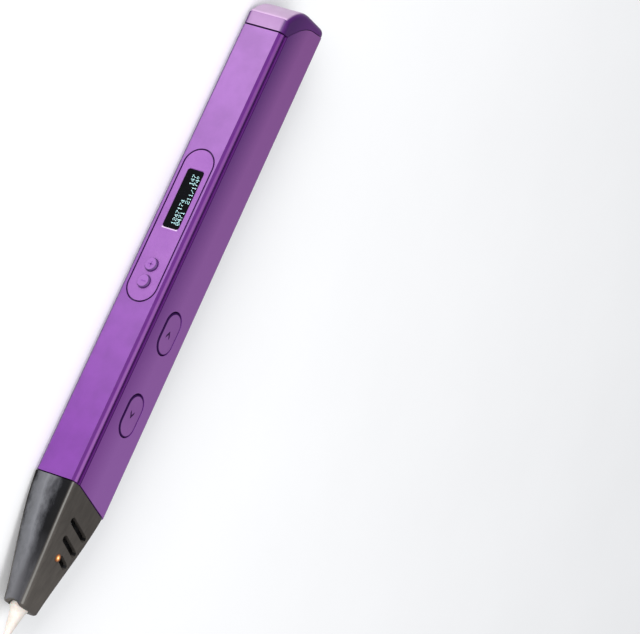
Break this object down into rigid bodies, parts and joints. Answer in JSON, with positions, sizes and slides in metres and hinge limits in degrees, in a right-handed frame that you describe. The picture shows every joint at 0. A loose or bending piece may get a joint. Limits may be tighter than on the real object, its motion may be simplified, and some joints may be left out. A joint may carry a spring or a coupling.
{
  "type": "3d printing pen",
  "caption": "Slim 3D printing pen with a display, temperature keys, feed and retract side buttons, a geared screw drive and a ceramic nozzle tip.",
  "frame": {"origin": "on the resting plane, under the middle of the bounding box; the pen lies on its plain flat side", "axes": "+X from the tail to the nozzle tip, -Y out of the display face, +Z out of the side with the two buttons"},
  "size_m": [0.18, 0.0208, 0.0128],
  "materials": {
    "purple_plastic": "satin moulded plastic",
    "panel_plastic": "satin moulded plastic",
    "key_plastic": "satin moulded plastic",
    "black_plastic": "satin heat-resistant plastic",
    "screen_glass": "clear dark window",
    "display": "glossy",
    "foam": "foam",
    "flat_cable": "amber film",
    "circuit_board": "solder mask",
    "chip": "moulded",
    "aluminium": "plain",
    "white_plastic": "moulded",
    "steel": "plain",
    "brass": "machined",
    "frame_plastic": "moulded",
    "tube_plastic": "waxy",
    "insulation": "woven sleeve",
    "ceramic": "unglazed",
    "amber_light": "lit lens"
  },
  "bodies": {
    "pen": {"front_shell": "purple_plastic", "rear_shell": "purple_plastic", "tail_cap": "purple_plastic", "control_panel": "panel_plastic", "nozzle_cone": "black_plastic", "screen_glass": "screen_glass", "display_module": "display", "display_pad": "foam", "display_cable": "flat_cable", "main_board": "circuit_board", "button_board": "circuit_board", "controller_chip": "chip", "driver_chip": "chip", "inductor": "chip", "capacitors": "aluminium", "motor_socket": "white_plastic", "key_switches": "steel", "button_switches": "steel", "power_board": "circuit_board", "power_socket": "steel", "power_tongue": "chip", "motor": "steel", "gearbox": "brass", "drive_frame": "frame_plastic", "roller_pin": "steel", "rear_tube": "tube_plastic", "front_tube": "tube_plastic", "melt_barrel": "brass", "heater_coil": "steel", "heater_sleeve": "insulation", "hot_end_bracket": "aluminium", "ceramic_tip": "ceramic", "tip_collar": "black_plastic", "thermistor": "chip", "status_light": "amber_light", "board_screws": "steel"},
    "up_key": {"key_up": "key_plastic"},
    "down_key": {"key_down": "key_plastic"},
    "feed_key": {"feed_button": "purple_plastic"},
    "retract_key": {"retract_button": "purple_plastic"},
    "motor_rotor": {"motor_shaft": "steel", "motor_pinion": "brass"},
    "screw": {"screw_gear": "brass", "feed_screw": "steel"},
    "roller": {"backing_roller": "steel"}
  },
  "joints": [
    {"name": "up_press", "type": "slide", "parent": "pen", "child": "up_key", "axis": [0, 1, 0], "range_m": [0, 0.00025], "stiffness_N_per_m": 1500},
    {"name": "down_press", "type": "slide", "parent": "pen", "child": "down_key", "axis": [0, 1, 0], "range_m": [0, 0.00025], "stiffness_N_per_m": 1500},
    {"name": "feed_press", "type": "slide", "parent": "pen", "child": "feed_key", "axis": [0, 0, -1], "range_m": [0, 0.0003], "stiffness_N_per_m": 2000},
    {"name": "retract_press", "type": "slide", "parent": "pen", "child": "retract_key", "axis": [0, 0, -1], "range_m": [0, 0.0003], "stiffness_N_per_m": 2000},
    {"name": "screw_spin", "type": "hinge", "parent": "pen", "child": "screw", "pos_m": [0.036, -0.00215, 0.0064], "axis": [1, 0, 0], "continuous": true},
    {"name": "motor_spin", "type": "hinge", "parent": "pen", "child": "motor_rotor", "pos_m": [0.0253, -0.0049, 0.0052], "axis": [1, 0, 0], "continuous": true},
    {"name": "roller_spin", "type": "hinge", "parent": "pen", "child": "roller", "pos_m": [0.0366, 0.00413, 0.0064], "axis": [0, 0, 1], "continuous": true}
  ],
  "couplings": [
    {"joint": "motor_spin", "follows": "screw_spin", "ratio": -0.71429},
    {"joint": "roller_spin", "follows": "screw_spin", "ratio": -0.090429}
  ]
}
